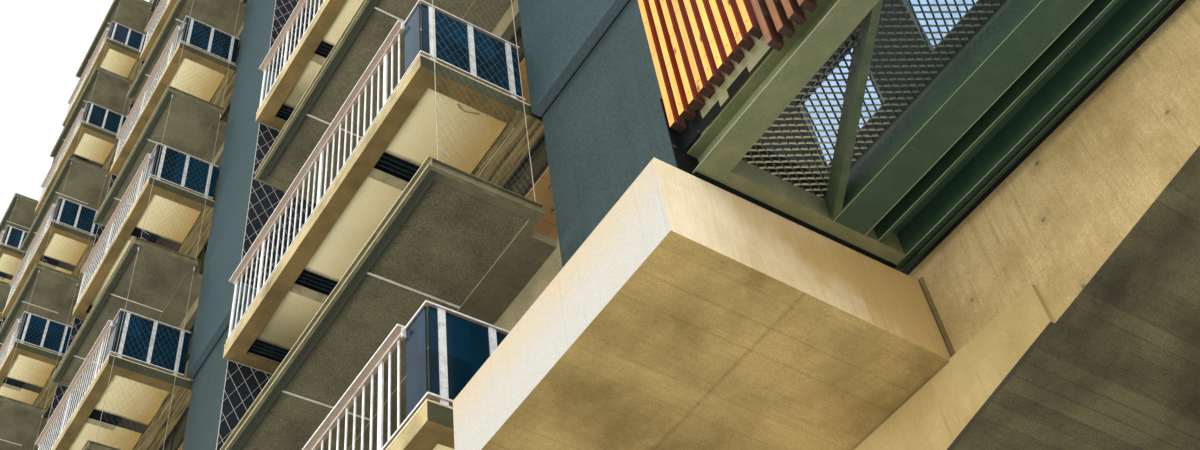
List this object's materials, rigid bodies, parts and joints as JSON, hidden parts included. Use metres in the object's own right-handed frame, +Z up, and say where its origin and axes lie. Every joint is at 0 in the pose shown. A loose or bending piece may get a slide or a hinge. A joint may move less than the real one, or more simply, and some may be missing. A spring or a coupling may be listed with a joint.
{
  "type": "apartment block with stacked balconies, 1:2 scale model",
  "caption": "Half-size model of a concrete apartment block on a transfer slab, with stacks of railed balconies, shelf slabs, a cantilevered concrete box and a steel gallery.",
  "frame": {"origin": "middle of the ground under the whole model", "axes": "+X along the long front towards the end with the steel gallery, +Y from the street into the block, +Z up"},
  "size_m": [25, 7.145, 26.915],
  "materials": {
    "concrete": "board-marked, rough",
    "dark_concrete": "shuttered, stained",
    "grey_render": "rough render",
    "green_steel": "satin",
    "galvanised_steel": "satin",
    "timber": "oiled",
    "window_glass": "polished",
    "screen_glass": "polished",
    "pale_glass": "opal"
  },
  "bodies": {
    "root": {"ground_slab": "concrete", "columns": "concrete", "base_walls": "dark_concrete", "base_glazing": "window_glass", "transfer_slab": "concrete", "beam_nib": "concrete", "concrete_box": "concrete", "gallery_channels": "green_steel", "gallery_ends": "green_steel", "gallery_packers": "green_steel", "gallery_plate": "green_steel", "gallery_mesh": "green_steel", "gallery_braces": "green_steel", "batten_rails": "green_steel", "timber_battens": "timber", "annexe_walls": "grey_render", "annexe_roof": "dark_concrete", "annexe_glazing": "pale_glass", "floor_slabs": "dark_concrete", "front_walls": "grey_render", "plinth_walls": "dark_concrete", "near_end_wall": "grey_render", "far_end_wall": "grey_render", "rear_wall": "grey_render", "rear_glazing": "window_glass", "end_glazing": "window_glass", "loggia_glazing": "window_glass", "door_heads": "dark_concrete", "loggia_ceilings": "timber", "roof_slab": "dark_concrete", "parapet": "grey_render", "balcony_slabs_1": "concrete", "balcony_slabs_2": "concrete", "balcony_slabs_3": "concrete", "balcony_slabs_4": "concrete", "soffit_grilles": "green_steel", "shelf_slabs": "dark_concrete", "shelf_channels": "galvanised_steel", "railings_1": "galvanised_steel", "railings_2": "galvanised_steel", "railings_3": "galvanised_steel", "railings_4": "galvanised_steel", "corner_glass": "screen_glass", "net_wires": "galvanised_steel"}
  },
  "joints": []
}
